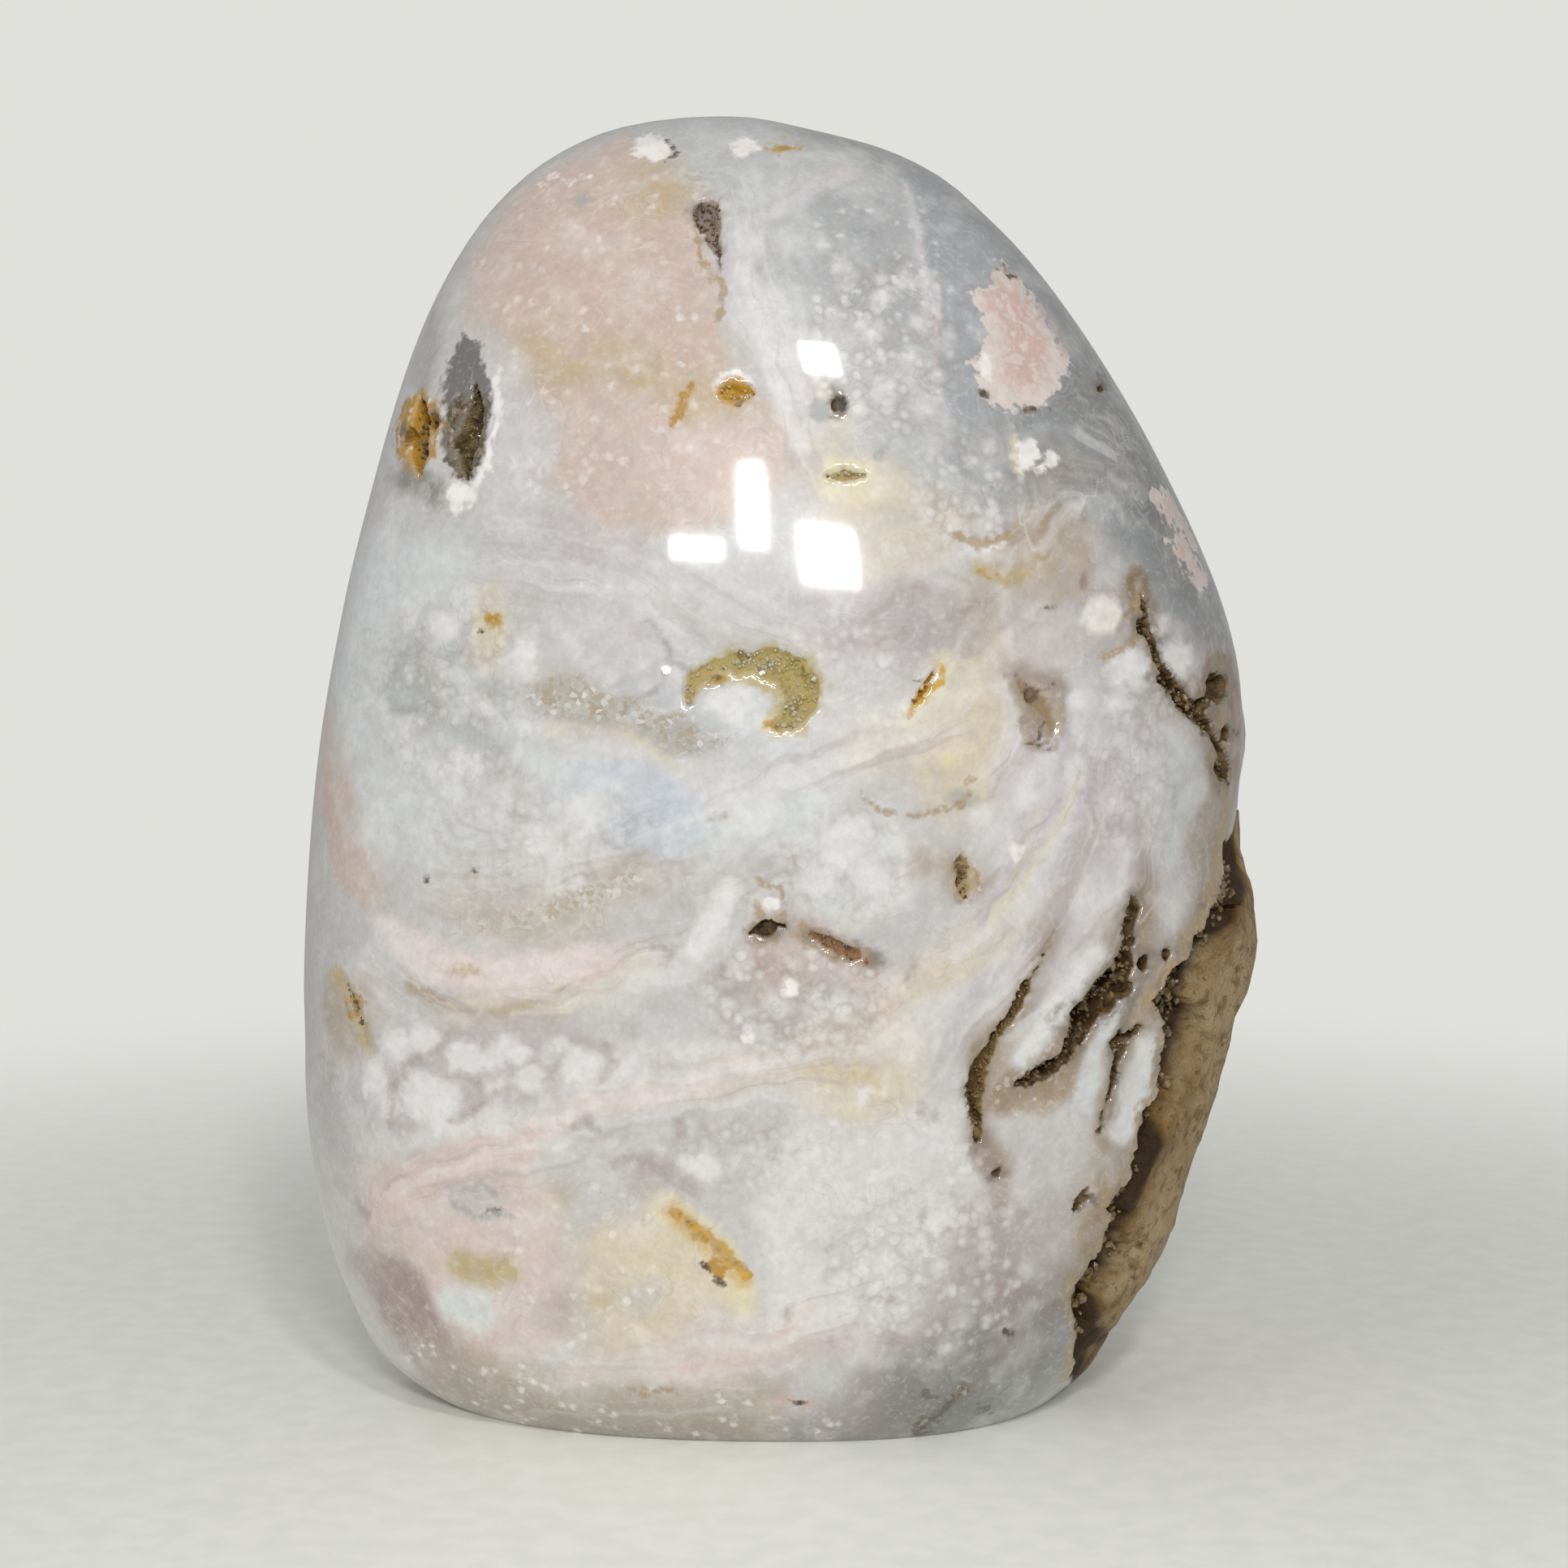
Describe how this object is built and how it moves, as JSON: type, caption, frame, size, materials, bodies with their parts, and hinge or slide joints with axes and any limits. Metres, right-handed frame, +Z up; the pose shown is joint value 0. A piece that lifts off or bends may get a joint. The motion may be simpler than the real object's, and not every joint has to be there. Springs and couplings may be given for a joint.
{
  "type": "flower agate freeform",
  "caption": "Free-standing polished agate stone with a flat sawn base, a crystal-lined side fissure and small druse pits, for display.",
  "frame": {"origin": "on the surface it stands on, under the middle of the stone's box", "axes": "+Z up the stone, -Y out of its polished front face, +X towards its side fissure"},
  "size_m": [0.1129, 0.0644, 0.15],
  "materials": {
    "polished_agate": "gloss",
    "druse": "satin",
    "ochre_druse": "satin"
  },
  "bodies": {
    "root": {"agate_stone": "polished_agate", "side_fissure_crust": "druse", "front_fissure_crust": "druse", "upper_fissure_crust": "druse", "left_pit_crust": "druse", "ochre_pocket_crust": "ochre_druse"}
  },
  "joints": []
}
